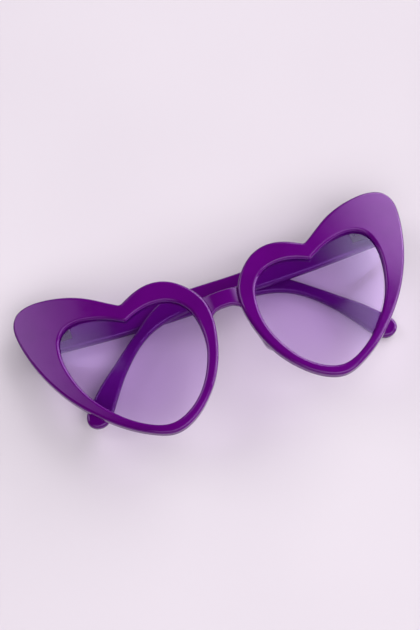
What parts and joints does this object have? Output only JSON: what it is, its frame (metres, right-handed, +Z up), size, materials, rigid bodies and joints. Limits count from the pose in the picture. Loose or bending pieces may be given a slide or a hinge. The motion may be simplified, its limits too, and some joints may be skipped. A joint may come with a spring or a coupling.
{
  "type": "heart shaped sunglasses",
  "caption": "Cat-eye sunglasses with heart shaped rims in glossy purple plastic, tinted see-through lenses and folding temples on small metal hinges.",
  "frame": {"origin": "middle of the bounding box on the ground plane, with the sunglasses folded and lying lens side up", "axes": "+X along the width towards the viewer's right, +Y towards the brow edge, +Z up, the way the lenses face"},
  "size_m": [0.1478, 0.0652, 0.0218],
  "materials": {
    "frame_plastic": "polished, opaque purple",
    "temple_plastic": "polished, opaque purple",
    "pad_plastic": "polished, opaque purple",
    "lens": "clear light purple tint",
    "hinge_metal": "nickel plated",
    "screw_metal": "polished steel"
  },
  "bodies": {
    "front": {"front_frame": "frame_plastic", "lens_left": "lens", "nose_pad_left": "pad_plastic", "hinge_front_leaf_left": "hinge_metal", "hinge_screw_left": "screw_metal", "front_leaf_screws_left": "screw_metal", "lens_right": "lens", "nose_pad_right": "pad_plastic", "hinge_front_leaf_right": "hinge_metal", "hinge_screw_right": "screw_metal", "front_leaf_screws_right": "screw_metal"},
    "left_temple": {"temple_left": "temple_plastic", "hinge_temple_leaf_left": "hinge_metal", "temple_leaf_screws_left": "screw_metal"},
    "right_temple": {"temple_right": "temple_plastic", "hinge_temple_leaf_right": "hinge_metal", "temple_leaf_screws_right": "screw_metal"}
  },
  "joints": [
    {"name": "left_temple_hinge", "type": "hinge", "parent": "front", "child": "left_temple", "pos_m": [-0.06588, 0.02118, 0.005], "axis": [0, 1, 0], "range_deg": [0, 88.11]},
    {"name": "right_temple_hinge", "type": "hinge", "parent": "front", "child": "right_temple", "pos_m": [0.06605, 0.02118, 0.00935], "axis": [0, -1, 0], "range_deg": [0, 91.88]}
  ]
}
